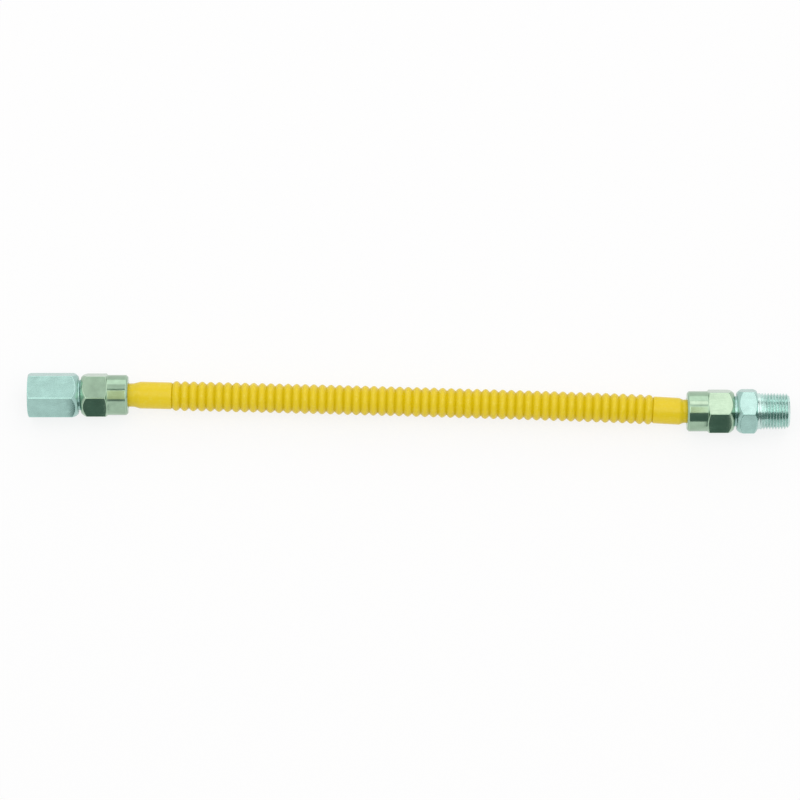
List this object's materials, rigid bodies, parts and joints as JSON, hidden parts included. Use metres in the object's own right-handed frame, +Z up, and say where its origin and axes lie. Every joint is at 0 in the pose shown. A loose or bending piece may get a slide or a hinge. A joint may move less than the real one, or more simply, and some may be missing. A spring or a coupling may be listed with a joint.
{
  "type": "flexible gas hose",
  "caption": "Short corrugated steel gas hose with a yellow coat, flare nuts at its ends, a female pipe adapter at one end and a male pipe adapter at the other.",
  "frame": {"origin": "on the surface that the hose lies on, at the middle of the box of its end fittings", "axes": "+X along the hose from the female adapter to the male adapter, +Y across it on the surface, towards the side that the female end is offset to, +Z up from the surface"},
  "size_m": [0.3565, 0.0308, 0.0195],
  "materials": {
    "yellow_coat": "satin yellow coat over corrugated stainless steel",
    "plated_nut": "bright zinc plated steel, turned and lightly dulled, with a grey green cast",
    "plated_adapter": "bright zinc plated steel with a blue green cast"
  },
  "bodies": {
    "hose": {"corrugated_tube": "yellow_coat"},
    "female_nut": {"flare_nut_female_end": "plated_nut"},
    "female_adapter": {"female_pipe_adapter": "plated_adapter"},
    "male_nut": {"flare_nut_male_end": "plated_nut"},
    "male_adapter": {"male_pipe_adapter": "plated_adapter"}
  },
  "joints": [
    {"name": "female_nut_turn", "type": "hinge", "parent": "hose", "child": "female_nut", "pos_m": [-0.1424, 0.0041, 0.00975], "axis": [1, 0, 0], "range_deg": [0, 2520]},
    {"name": "female_adapter_draw", "type": "slide", "parent": "hose", "child": "female_adapter", "axis": [-1, 0, 0], "range_m": [0, 0.00988]},
    {"name": "male_nut_turn", "type": "hinge", "parent": "hose", "child": "male_nut", "pos_m": [0.1413, -0.0041, 0.00975], "axis": [-1, 0, 0], "range_deg": [0, 2520]},
    {"name": "male_adapter_draw", "type": "slide", "parent": "hose", "child": "male_adapter", "axis": [1, 0, 0], "range_m": [0, 0.00988]}
  ],
  "couplings": [
    {"joint": "female_nut_turn", "follows": "female_adapter_draw", "rad_per_m": 4452.6},
    {"joint": "male_nut_turn", "follows": "male_adapter_draw", "rad_per_m": 4452.6}
  ]
}
